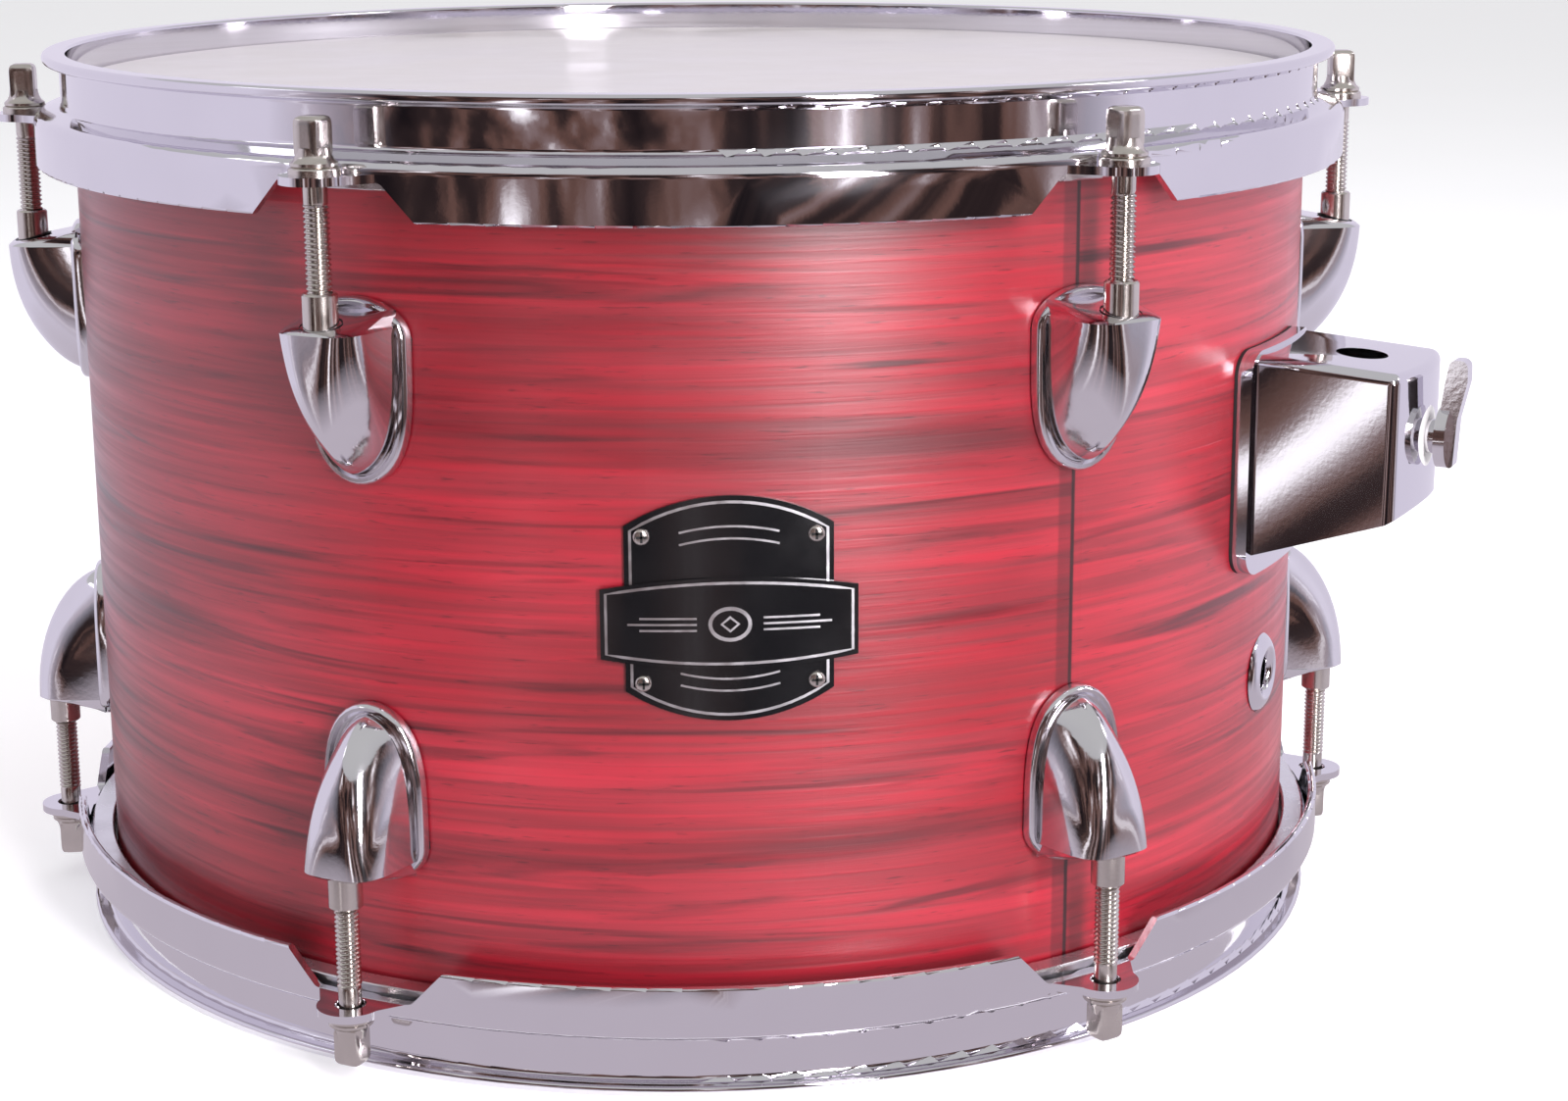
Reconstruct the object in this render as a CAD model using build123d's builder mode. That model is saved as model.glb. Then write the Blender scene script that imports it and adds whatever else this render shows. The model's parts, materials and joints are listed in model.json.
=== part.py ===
from build123d import *
import os
from math import sqrt

os.makedirs("parts", exist_ok=True)

# Millimetres. The drum's axis is Z, z = 0 is the rim that it stands on, the badge looks towards -Y.
# Forms that repeat are drawn once at polar angle 0 (X outwards, Y along the wall, Z up) for the
# batter side, then turned to their places and mirrored for the resonant side.

# driving dimensions
shell_r = 152.4             # outside of the covering: a 12 inch drum
shell_depth = 200.0         # from bearing edge to bearing edge: 8 inches nominal
rim_rise = 7.5              # how far each rim stands past its head
lug_count = 6               # tension rods and lugs at each head
rod_circle_r = 166.1
side_angle = -30.0          # polar angle of the tom mount and the vent

height = shell_depth + 2 * rim_rise
mid_z = height / 2
edge_z = height - rim_rise
lug_step = 360.0 / lug_count
badge_angle = -90.0

# shell
wrap_t = 0.5
ply_t = 6.5
wood_r = shell_r - wrap_t
bore_r = wood_r - ply_t
edge_round = 3.0            # rounded outer part of the bearing edge
edge_flat = 0.4
wrap_inset = 5.0            # the covering stops this far short of the edge

# hoop, a bent and flanged steel band
hoop_in_r = 153.3
hoop_out_r = 155.1
lip_r = 159.0
lip_t = 2.4
flange_z = height - 15.0    # underside of the middle flange
skirt_in_r = 159.8
skirt_out_r = 161.8
skirt_z = height - 26.3
ear_top_z = height - 16.5
ear_t = 1.8
ear_tip_r = 7.4
ear_root_half = 12.4
ear_hole_r = 3.5

# head
film_t = 0.3
collar_r = shell_r + 0.35
flesh_in_r = 153.3
flesh_out_r = 158.6
flesh_depth = 5.0
slot_in_r = 154.6
slot_out_r = 157.4
slot_depth = 3.6

# tension rod, its washer and its swivel nut
rod_r = 2.7
rod_end_z = 156.5
rod_fit = 0.05              # running clearance in the nut
washer_r = 5.4
washer_t = 1.6
washer_hole_r = 2.95
collar_head_r = 4.95
collar_head_t = 1.2
square_w = 6.2
head_top_z = height - 4.5
nut_r = 3.75
nut_low_z = 159.0
nut_top_z = 174.3
crossbar = (5.6, 12.0, 4.0)
crossbar_top_z = nut_low_z + crossbar[2]

# lug
gasket_t = 0.5
lug_base_r = shell_r + gasket_t
lug_flange_r = 155.6
lug_top_z = 171.9
lug_low_z = 131.6
lug_half = 12.8
body_half = 10.8
body_nose_r = 171.6
neck_r = 4.4
pocket_out_r = 169.2
pocket_w = 12.8
pocket_low_z = 155.0
lug_screw_z = (166.0, 139.5)
screw_r = 2.0
screw_end_r = 158.0
screw_head_r = 3.8
screw_head_t = 2.6
washer_in_r = 4.6
washer_in_t = 1.0

# tom mount
mount_z = 123.2
mount_w = 46.0
mount_h = 53.0
mount_gasket_t = 0.8
mount_plate_t = 3.2
mount_box_half = 20.0
mount_corner_r = 187.5
mount_end_r = 190.3
arm_hole_x = 174.0
arm_hole_r = 6.0
clamp_z = 129.5
shoe_r = 6.9
shoe_bore_r = 7.0
shoe_in_x = 177.0
shoe_out_x = 184.5
bushing_in_x = 186.0
bolt_r = 4.0
mount_screw_y = 10.0
mount_screw_z = (107.5, 143.5)
mount_screw_r = 2.5
backing_r = 142.9

# vent and badge
vent_z = 68.0
vent_tube_r = 5.2
vent_bore_r = 4.4
vent_flange_r = 9.6
badge_z = 107.75
badge_t = 0.8
banner_t = 0.6
badge_screw_y = 18.3
badge_screw_z = (91.7, 123.4)
badge_screw_r = 1.8


def save(part, name):
    part.label = name
    export_step(part, f"parts/{name}.step")


def at_angle(form, angle):
    # a form drawn at polar angle 0, turned round the drum's axis to its place
    with BuildPart() as placed:
        with PolarLocations(0, 1, start_angle=angle):
            add(form)
    return placed.part


def all_round(form):
    # one copy of a form at every lug place
    with BuildPart() as ring:
        with PolarLocations(0, lug_count):
            add(form)
    return ring.part


def flipped(form):
    # the resonant side is the batter side mirrored in the drum's middle plane
    with BuildPart() as below:
        mirror(form, about=Plane.XY.offset(mid_z), mode=Mode.ADD)
    return below.part


def save_both(form, name):
    save(form, f"batter_{name}")
    save(flipped(form), f"resonant_{name}")


def radial_plane(x, y, z):
    # a sketch plane whose normal points outwards along X
    return Plane(origin=(x, y, z), x_dir=(0, 1, 0), z_dir=(1, 0, 0))


def curved_band(in_r, out_r):
    # keeps only the layer of the current part that lies between two cylinders round the axis
    with BuildSketch(Plane.XY) as ring:
        Circle(out_r)
        Circle(in_r, mode=Mode.SUBTRACT)
    extrude(ring.sketch, amount=height, mode=Mode.INTERSECT)


# ---- shell -----------------------------------------------------------------------------------

lug_screw_centres = [z for side in lug_screw_z for z in (side, height - side)]

with BuildPart() as shell_plies:
    with BuildSketch(Plane.XZ):
        bevel = wood_r - edge_round - edge_flat - bore_r
        with BuildLine():
            Line((bore_r, edge_z - bevel), (bore_r + bevel, edge_z))
            Line((bore_r + bevel, edge_z), (wood_r - edge_round, edge_z))
            RadiusArc((wood_r - edge_round, edge_z), (wood_r, edge_z - edge_round), edge_round)
            Line((wood_r, edge_z - edge_round), (wood_r, mid_z))
            Line((wood_r, mid_z), (bore_r, mid_z))
            Line((bore_r, mid_z), (bore_r, edge_z - bevel))
        make_face()
    revolve(axis=Axis.Z)
    mirror(about=Plane.XY.offset(mid_z))
    # clearance holes for the lug screws
    for z in lug_screw_centres:
        with PolarLocations(0, lug_count):
            with Locations(Location((bore_r - 5, 0, z), (0, 90, 0))):
                Cylinder(screw_r + 0.3, 2 * ply_t, mode=Mode.SUBTRACT,
                         align=(Align.CENTER, Align.CENTER, Align.MIN))
    # vent and mount screw holes
    with PolarLocations(0, 1, start_angle=side_angle):
        with Locations(Location((bore_r - 5, 0, vent_z), (0, 90, 0))):
            Cylinder(vent_tube_r + 0.1, 2 * ply_t, mode=Mode.SUBTRACT,
                     align=(Align.CENTER, Align.CENTER, Align.MIN))
        for z in mount_screw_z:
            for y in (-mount_screw_y, mount_screw_y):
                with Locations(Location((bore_r - 5, y, z), (0, 90, 0))):
                    Cylinder(mount_screw_r + 0.3, 2 * ply_t, mode=Mode.SUBTRACT,
                             align=(Align.CENTER, Align.CENTER, Align.MIN))
    # pilot holes for the badge screws
    with PolarLocations(0, 1, start_angle=badge_angle):
        for z in badge_screw_z:
            for y in (-badge_screw_y, badge_screw_y):
                with Locations(Location((bore_r + 1.5, y, z), (0, 90, 0))):
                    Cylinder(badge_screw_r / 2, ply_t, mode=Mode.SUBTRACT,
                             align=(Align.CENTER, Align.CENTER, Align.MIN))
save(shell_plies.part, "shell_plies")

with BuildPart() as shell_wrap:
    with BuildSketch(Plane.XY.offset(rim_rise + wrap_inset)):
        Circle(shell_r)
        Circle(wood_r, mode=Mode.SUBTRACT)
    extrude(amount=shell_depth - 2 * wrap_inset)
    for z in lug_screw_centres:
        with PolarLocations(0, lug_count):
            with Locations(Location((wood_r - 2, 0, z), (0, 90, 0))):
                Cylinder(screw_r + 0.3, 5, mode=Mode.SUBTRACT,
                         align=(Align.CENTER, Align.CENTER, Align.MIN))
    with PolarLocations(0, 1, start_angle=side_angle):
        with Locations(Location((wood_r - 2, 0, vent_z), (0, 90, 0))):
            Cylinder(vent_tube_r + 0.1, 5, mode=Mode.SUBTRACT,
                     align=(Align.CENTER, Align.CENTER, Align.MIN))
        for z in mount_screw_z:
            for y in (-mount_screw_y, mount_screw_y):
                with Locations(Location((wood_r - 2, y, z), (0, 90, 0))):
                    Cylinder(mount_screw_r + 0.3, 5, mode=Mode.SUBTRACT,
                             align=(Align.CENTER, Align.CENTER, Align.MIN))
    with PolarLocations(0, 1, start_angle=badge_angle):
        for z in badge_screw_z:
            for y in (-badge_screw_y, badge_screw_y):
                with Locations(Location((wood_r - 3, y, z), (0, 90, 0))):
                    Cylinder(badge_screw_r / 2, 5, mode=Mode.SUBTRACT,
                             align=(Align.CENTER, Align.CENTER, Align.MIN))
save(shell_wrap.part, "shell_wrap")

# ---- hoops: lip, upright wall, middle flange and skirt, with an ear at every rod ---------------

with BuildPart() as skirt_gap:
    with BuildSketch(radial_plane(skirt_in_r - 2.5, 0, 0)):
        with BuildLine():
            FilletPolyline(
                (-21.0, skirt_z - 1),
                (-ear_root_half, ear_top_z - ear_t),
                (ear_root_half, ear_top_z - ear_t),
                (21.0, skirt_z - 1),
                radius=2.0,
            )
            Line((21.0, skirt_z - 1), (-21.0, skirt_z - 1))
        make_face()
    extrude(amount=7)

with BuildPart() as hoop:
    with BuildSketch(Plane.XZ):
        with BuildLine():
            FilletPolyline(
                (hoop_in_r, height),
                (lip_r, height),
                (lip_r, height - lip_t),
                (hoop_out_r, height - lip_t),
                (hoop_out_r, flange_z + 2.6),
                (skirt_out_r, flange_z + 0.6),
                (skirt_out_r, skirt_z),
                (skirt_in_r, skirt_z),
                (skirt_in_r, flange_z),
                (hoop_in_r, flange_z),
                radius=[0.8, 1.0, 1.0, 1.2, 1.6, 3.0, 0.6, 0.6, 2.4, 0.4],
                close=True,
            )
        make_face()
    revolve(axis=Axis.Z)
    # the skirt is cut away below each ear, and the flange is faced flat where the washer sits
    with PolarLocations(0, lug_count):
        add(skirt_gap.part, mode=Mode.SUBTRACT)
    with BuildSketch(Plane.XY.offset(ear_top_z)):
        with PolarLocations(rod_circle_r, lug_count):
            Circle(washer_r + 0.4)
    extrude(amount=8, mode=Mode.SUBTRACT)
    # flat ears with their rod holes
    with BuildSketch(Plane.XY.offset(ear_top_z - ear_t)):
        with PolarLocations(0, lug_count):
            Polygon(
                (skirt_in_r + 0.1, -ear_root_half),
                (rod_circle_r + 1.0, -ear_tip_r + 0.1),
                (rod_circle_r + 1.0, ear_tip_r - 0.1),
                (skirt_in_r + 0.1, ear_root_half),
                align=None,
            )
        with PolarLocations(rod_circle_r, lug_count):
            Circle(ear_tip_r)
            Circle(ear_hole_r, mode=Mode.SUBTRACT)
    extrude(amount=ear_t)
save_both(hoop.part, "hoop")

# ---- heads: film over the edge and down a collar, gripped in the slot of the flesh hoop -------

flesh_top_z = flange_z - film_t
slot_low_z = flesh_top_z - slot_depth

with BuildPart() as flesh_hoop:
    with BuildSketch(Plane.XZ):
        with Locations(((flesh_in_r + flesh_out_r) / 2, flesh_top_z - flesh_depth / 2)):
            RectangleRounded(flesh_out_r - flesh_in_r, flesh_depth, 0.5)
        with Locations(((slot_in_r + slot_out_r) / 2, flesh_top_z - slot_depth / 2)):
            Rectangle(slot_out_r - slot_in_r, slot_depth, mode=Mode.SUBTRACT)
    revolve(axis=Axis.Z)
save_both(flesh_hoop.part, "flesh_hoop")

with BuildPart() as head_film:
    with BuildSketch(Plane.XZ):
        with BuildLine():
            outer_fold = FilletPolyline(
                (0, edge_z + film_t),
                (collar_r + film_t, edge_z + film_t),
                (collar_r + film_t, flange_z),
                radius=2.2 + film_t,
            )
            inner_fold = FilletPolyline(
                (0, edge_z),
                (collar_r, edge_z),
                (collar_r, flesh_top_z),
                radius=2.2,
            )
            Polyline(
                (collar_r + film_t, flange_z),
                (slot_out_r, flange_z),
                (slot_out_r, slot_low_z),
                (slot_in_r, slot_low_z),
                (slot_in_r, flesh_top_z),
                (collar_r, flesh_top_z),
            )
            Line((0, edge_z), (0, edge_z + film_t))
        make_face()
    revolve(axis=Axis.Z)
save_both(head_film.part, "head_film")

# ---- tension rods, drawn on the Z axis and moved out to the rod circle -------------------------

washer_top_z = ear_top_z + washer_t
cone_low_z = washer_top_z + collar_head_t

with BuildPart() as rod:
    with BuildSketch(Plane.XY.offset(rod_end_z)):
        Circle(rod_r)
    extrude(amount=washer_top_z - rod_end_z)
    chamfer(rod.faces().sort_by(Axis.Z)[0].edges(), 0.6)
    # collar and flare under the key head
    with BuildSketch(Plane.XZ):
        Polygon(
            (0, washer_top_z),
            (collar_head_r, washer_top_z),
            (collar_head_r, cone_low_z),
            (square_w * 0.66, cone_low_z + 0.5),
            (square_w * 0.5, cone_low_z + 4.0),
            (0, cone_low_z + 4.0),
            align=None,
        )
    revolve(axis=Axis.Z)
    # square key head with a rounded top
    with BuildSketch(Plane.XY.offset(cone_low_z)):
        RectangleRounded(square_w, square_w, 0.9)
    extrude(amount=head_top_z - cone_low_z)
    fillet(rod.faces().sort_by(Axis.Z)[-1].edges(), 1.4)

for index in range(lug_count):
    with BuildPart() as placed_rod:
        with PolarLocations(rod_circle_r, 1, start_angle=index * lug_step):
            add(rod.part)
    save(placed_rod.part, f"batter_rod_{index + 1}")
    save(flipped(placed_rod.part), f"resonant_rod_{index + 1}")

with BuildPart() as rod_washers:
    with BuildSketch(Plane.XY.offset(ear_top_z)):
        with PolarLocations(rod_circle_r, lug_count):
            Circle(washer_r)
            Circle(washer_hole_r, mode=Mode.SUBTRACT)
    extrude(amount=washer_t)
    rims = rod_washers.edges().filter_by(GeomType.CIRCLE).group_by(Axis.Z)[-1]
    fillet(rims.filter_by(lambda edge: edge.radius > washer_hole_r + 1), 0.6)
save_both(rod_washers.part, "rod_washers")

# ---- swivel nuts: a barrel that stands out of the lug, held inside by its crossbar --------------

with BuildPart() as swivel_nuts:
    with BuildSketch(Plane.XY.offset(crossbar_top_z)):
        with PolarLocations(rod_circle_r, lug_count):
            Circle(nut_r)
    extrude(amount=nut_top_z - crossbar_top_z)
    chamfer(swivel_nuts.faces().group_by(Axis.Z)[-1].edges(), 0.4)
    with BuildSketch(Plane.XY.offset(nut_low_z)):
        with PolarLocations(rod_circle_r, lug_count):
            RectangleRounded(crossbar[0], crossbar[1], 1.0)
    extrude(amount=crossbar[2])
    with BuildSketch(Plane.XY.offset(nut_low_z)):
        with PolarLocations(rod_circle_r, lug_count):
            Circle(rod_r + rod_fit)
    extrude(amount=nut_top_z - nut_low_z, mode=Mode.SUBTRACT)
save_both(swivel_nuts.part, "swivel_nuts")

# ---- lugs --------------------------------------------------------------------------------------

# shield outline of the base, shared by the lug's flange and its gasket
with BuildSketch(radial_plane(lug_base_r - 4, 0, 0)) as shield:
    with BuildLine():
        shoulder_z = lug_top_z - 8.4
        ThreePointArc((-lug_half, shoulder_z), (0, lug_top_z), (lug_half, shoulder_z))
        for side in (-1, 1):
            Line((side * lug_half, shoulder_z), (side * 11.8, 149.5))
            ThreePointArc((side * 11.8, 149.5), (side * 7.4, 136.2), (0, lug_low_z))
    make_face()

with BuildPart() as lug_gasket:
    extrude(shield.sketch, amount=10)
    curved_band(shell_r, lug_base_r)
    for z in lug_screw_z:
        with Locations(Location((shell_r - 3, 0, z), (0, 90, 0))):
            Cylinder(screw_r + 0.3, 8, mode=Mode.SUBTRACT,
                     align=(Align.CENTER, Align.CENTER, Align.MIN))

# cast body of the lug: side view, then trimmed to its front view and its plan
with BuildPart() as lug_body:
    with BuildSketch(Plane.XZ.offset(-body_half)):
        Polygon(
            (154.0, 134.6),
            (154.0, 169.5),
            (157.0, 168.6),
            (body_nose_r, 166.0),
            (171.2, 158.0),
            (169.6, 151.0),
            (166.6, 144.8),
            (162.6, 139.8),
            (158.0, 136.4),
            align=None,
        )
    extrude(amount=2 * body_half)
    with BuildSketch(radial_plane(150, 0, 0)):
        right_edge = [(body_half, 172), (10.4, 157.0), (9.3, 149.0), (7.0, 142.0), (4.0, 136.9)]
        left_edge = [(-y, z) for y, z in reversed(right_edge)]
        Polygon(*right_edge, (0, 133.8), *left_edge, align=None)
    extrude(amount=25, mode=Mode.INTERSECT)
    with BuildSketch(Plane.XY.offset(130)):
        Polygon(
            (150.0, -body_half - 1),
            (164.0, -body_half - 1),
            (168.2, -8.6),
            (170.8, -4.6),
            (171.7, 0),
            (170.8, 4.6),
            (168.2, 8.6),
            (164.0, body_half + 1),
            (150.0, body_half + 1),
            align=None,
        )
    extrude(amount=45, mode=Mode.INTERSECT)

with BuildPart() as lug:
    extrude(shield.sketch, amount=10)
    curved_band(lug_base_r, lug_flange_r)
    add(lug_body.part)
    # pocket for the swivel nut, open at the back, and the neck that the barrel stands in
    with Locations((lug_base_r - 0.5, 0, pocket_low_z)):
        Box(pocket_out_r - lug_base_r + 0.5, pocket_w, crossbar_top_z - pocket_low_z,
            mode=Mode.SUBTRACT, align=(Align.MIN, Align.CENTER, Align.MIN))
    with Locations((rod_circle_r, 0, crossbar_top_z - 1)):
        Cylinder(neck_r, 12, mode=Mode.SUBTRACT, align=(Align.CENTER, Align.CENTER, Align.MIN))
    for z in lug_screw_z:
        with Locations(Location((lug_base_r - 1, 0, z), (0, 90, 0))):
            Cylinder(screw_r, screw_end_r - lug_base_r + 1, mode=Mode.SUBTRACT,
                     align=(Align.CENTER, Align.CENTER, Align.MIN))

for index in range(lug_count):
    placed_lug = at_angle(lug.part, index * lug_step)
    save(placed_lug, f"batter_lug_{index + 1}")
    save(flipped(placed_lug), f"resonant_lug_{index + 1}")

# sprung plastic block that keeps the nut from rattling when the rod is out
with BuildPart() as nut_retainer:
    with Locations((lug_base_r + 1.6, 0, pocket_low_z + 0.2)):
        Box(7.4, 9.0, 7.0, align=(Align.MIN, Align.CENTER, Align.MIN))
    with Locations((lug_base_r + 1.6, 0, pocket_low_z + 1.7)):
        Box(4.0, 6.0, 4.0, mode=Mode.SUBTRACT, align=(Align.MIN, Align.CENTER, Align.MIN))
    fillet(nut_retainer.edges().filter_by(Axis.X), 0.6)

# screw from inside the shell, with its washer
with BuildPart() as lug_screw_pair:
    for z in lug_screw_z:
        head_x = bore_r - 0.1 - washer_in_t
        with Locations(Location((head_x, 0, z), (0, 90, 0))):
            Cylinder(screw_r, screw_end_r - head_x,
                     align=(Align.CENTER, Align.CENTER, Align.MIN))
        with Locations(Location((head_x, 0, z), (0, -90, 0))):
            Cylinder(screw_head_r, screw_head_t,
                     align=(Align.CENTER, Align.CENTER, Align.MIN))
            Cylinder(1.2, 2 * screw_head_t, mode=Mode.SUBTRACT)

with BuildPart() as lug_washer_pair:
    for z in lug_screw_z:
        with Locations(Location((bore_r - 0.1 - washer_in_t, 0, z), (0, 90, 0))):
            Cylinder(washer_in_r, washer_in_t, align=(Align.CENTER, Align.CENTER, Align.MIN))
            Cylinder(screw_r + 0.1, 3 * washer_in_t, mode=Mode.SUBTRACT)

for form, name in (
    (lug_gasket.part, "lug_gaskets"),
    (nut_retainer.part, "nut_retainers"),
    (lug_screw_pair.part, "lug_screws"),
    (lug_washer_pair.part, "lug_screw_washers"),
):
    ring = all_round(form)
    with BuildPart() as both_sides:
        add(ring)
        add(flipped(ring))
    save(both_sides.part, name)

# ---- tom mount ---------------------------------------------------------------------------------

mount_base_r = shell_r + mount_gasket_t
mount_face_r = mount_base_r + mount_plate_t

with BuildPart() as mount_gasket:
    with BuildSketch(radial_plane(shell_r - 3, 0, mount_z)):
        RectangleRounded(mount_w, mount_h, 6)
        for z in mount_screw_z:
            with Locations((-mount_screw_y, z - mount_z), (mount_screw_y, z - mount_z)):
                Circle(mount_screw_r + 0.3, mode=Mode.SUBTRACT)
    extrude(amount=8)
    curved_band(shell_r, mount_base_r)
save(at_angle(mount_gasket.part, side_angle), "mount_gasket")

# cast housing: side view with a sloping floor, trimmed to its plan
with BuildPart() as mount_box:
    with BuildSketch(Plane.XZ.offset(-mount_box_half)):
        Polygon(
            (mount_base_r + 1.0, 101.5),
            (mount_base_r + 1.0, 149.0),
            (mount_end_r, 146.3),
            (mount_end_r, 114.5),
            (mount_corner_r - 1.5, 112.0),
            align=None,
        )
    extrude(amount=2 * mount_box_half)
    with BuildSketch(Plane.XY.offset(95)):
        with BuildLine():
            Polyline((mount_corner_r, -mount_box_half), (150.0, -mount_box_half),
                     (150.0, mount_box_half), (mount_corner_r, mount_box_half))
            ThreePointArc((mount_corner_r, mount_box_half), (mount_end_r, 0),
                          (mount_corner_r, -mount_box_half))
        make_face()
        fillet(vertices().group_by(Axis.X)[-1], 3)
    extrude(amount=60, mode=Mode.INTERSECT)
    fillet(mount_box.faces().sort_by(Axis.Z)[-1].edges().sort_by(Axis.X)[1:], 2.5)

with BuildPart() as mount_bracket:
    with BuildSketch(radial_plane(shell_r - 3, 0, mount_z)):
        RectangleRounded(mount_w, mount_h, 6)
    extrude(amount=10)
    curved_band(mount_base_r, mount_face_r)
    add(mount_box.part)
    # weight-saving pocket behind the housing
    with Locations((mount_base_r - 2, 0, 113.0)):
        Box(12.0, 30.0, 25.0, mode=Mode.SUBTRACT, align=(Align.MIN, Align.CENTER, Align.MIN))
    # upright hole for the tom arm, and the cross hole for the clamp shoe and its bushing
    with Locations((arm_hole_x, 0, mount_z)):
        Cylinder(arm_hole_r, 80, mode=Mode.SUBTRACT)
    with Locations(Location((shoe_in_x - 2.6, 0, clamp_z), (0, 90, 0))):
        Cylinder(shoe_bore_r, 20, mode=Mode.SUBTRACT,
                 align=(Align.CENTER, Align.CENTER, Align.MIN))
    for z in mount_screw_z:
        for y in (-mount_screw_y, mount_screw_y):
            with Locations(Location((mount_base_r - 2, y, z), (0, 90, 0))):
                Cylinder(mount_screw_r, 10, mode=Mode.SUBTRACT,
                         align=(Align.CENTER, Align.CENTER, Align.MIN))
save(at_angle(mount_bracket.part, side_angle), "mount_bracket")

with BuildPart() as clamp_shoe:
    with Locations(Location((shoe_in_x, 0, clamp_z), (0, 90, 0))):
        Cylinder(shoe_r, shoe_out_x - shoe_in_x, align=(Align.CENTER, Align.CENTER, Align.MIN))
    with Locations((arm_hole_x, 0, clamp_z)):
        Cylinder(arm_hole_r, 30, mode=Mode.SUBTRACT)
save(at_angle(clamp_shoe.part, side_angle), "clamp_shoe")

with BuildPart() as wing_bolt_bushing:
    with Locations(Location((bushing_in_x, 0, clamp_z), (0, 90, 0))):
        Cylinder(shoe_bore_r, mount_end_r - bushing_in_x,
                 align=(Align.CENTER, Align.CENTER, Align.MIN))
        Cylinder(bolt_r + rod_fit, 20, mode=Mode.SUBTRACT)
save(at_angle(wing_bolt_bushing.part, side_angle), "wing_bolt_bushing")

with BuildPart() as wing_bolt:
    with Locations(Location((shoe_out_x, 0, clamp_z), (0, 90, 0))):
        Cylinder(bolt_r, 9.0, align=(Align.CENTER, Align.CENTER, Align.MIN))
    with Locations(Location((mount_end_r + 2.6, 0, clamp_z), (0, 90, 0))):
        Cylinder(7.0, 2.6, align=(Align.CENTER, Align.CENTER, Align.MIN))
    # one long ear that leans outwards, and a short one below the hub
    with BuildSketch(Plane.XZ.offset(-2.3)):
        with BuildLine():
            FilletPolyline(
                (193.0, 123.5),
                (192.9, 133.0),
                (194.0, 142.0),
                (195.0, 147.8),
                (199.0, 147.8),
                (199.2, 143.0),
                (197.2, 134.0),
                (196.6, 122.5),
                radius=[0.8, 2.0, 2.0, 1.7, 1.7, 3.0, 2.0, 0.8],
                close=True,
            )
        make_face()
    extrude(amount=4.6)
save(at_angle(wing_bolt.part, side_angle), "wing_bolt")

with BuildPart() as mount_backing_plate:
    with BuildSketch(radial_plane(backing_r - 5, 0, mount_z + 1.5)):
        RectangleRounded(38, 50, 5)
        for z in mount_screw_z:
            centre_z = z - mount_z - 1.5
            with Locations((-mount_screw_y, centre_z), (mount_screw_y, centre_z)):
                Circle(mount_screw_r + 0.2, mode=Mode.SUBTRACT)
    extrude(amount=12)
    curved_band(backing_r, bore_r)
save(at_angle(mount_backing_plate.part, side_angle), "mount_backing_plate")

with BuildPart() as mount_screws:
    head_x = sqrt(backing_r**2 - (mount_screw_y + 4.2)**2)
    for z in mount_screw_z:
        for y in (-mount_screw_y, mount_screw_y):
            with Locations(Location((head_x, y, z), (0, 90, 0))):
                Cylinder(mount_screw_r, mount_base_r + 7 - head_x,
                         align=(Align.CENTER, Align.CENTER, Align.MIN))
            with Locations(Location((head_x, y, z), (0, -90, 0))):
                Cylinder(4.2, 3.0, align=(Align.CENTER, Align.CENTER, Align.MIN))
                Cylinder(1.5, 4.0, mode=Mode.SUBTRACT)
save(at_angle(mount_screws.part, side_angle), "mount_screws")

# ---- vent --------------------------------------------------------------------------------------

with BuildPart() as vent_grommet:
    with BuildSketch(Plane.XY.offset(vent_z)):
        with BuildLine():
            Polyline((shell_r + 0.05, vent_tube_r), (shell_r + 0.05, vent_flange_r))
            ThreePointArc((shell_r + 0.05, vent_flange_r), (shell_r + 1.5, 8.0),
                          (shell_r + 2.0, 6.6))
            ThreePointArc((shell_r + 2.0, 6.6), (shell_r + 1.2, 4.9),
                          (shell_r - 0.4, vent_bore_r))
            Polyline((shell_r - 0.4, vent_bore_r), (bore_r - 1.6, vent_bore_r),
                     (bore_r - 1.6, vent_tube_r), (shell_r + 0.05, vent_tube_r))
        make_face()
    revolve(axis=Axis((0, 0, vent_z), (1, 0, 0)))
save(at_angle(vent_grommet.part, side_angle), "vent_grommet")

with BuildPart() as vent_grommet_ring:
    with Locations(Location((bore_r - 1.5, 0, vent_z), (0, 90, 0))):
        Cylinder(8.6, 1.2, align=(Align.CENTER, Align.CENTER, Align.MIN))
        Cylinder(vent_tube_r, 6, mode=Mode.SUBTRACT)
save(at_angle(vent_grommet_ring.part, side_angle), "vent_grommet_ring")

# ---- badge: a cushion-shaped plate, a banner across it and four screws --------------------------

badge_face_r = shell_r + badge_t

with BuildPart() as badge_plate:
    with BuildSketch(radial_plane(shell_r - 4, 0, badge_z)):
        with BuildLine():
            ThreePointArc((-22.0, 17.9), (0, 24.35), (22.0, 17.9))
            Line((22.0, 17.9), (22.0, -17.9))
            ThreePointArc((22.0, -17.9), (0, -24.35), (-22.0, -17.9))
            Line((-22.0, -17.9), (-22.0, 17.9))
        make_face()
        for z in badge_screw_z:
            with Locations((-badge_screw_y, z - badge_z), (badge_screw_y, z - badge_z)):
                Circle(badge_screw_r / 2, mode=Mode.SUBTRACT)
    extrude(amount=8)
    curved_band(shell_r, badge_face_r)
save(at_angle(badge_plate.part, badge_angle), "badge_plate")

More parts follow.
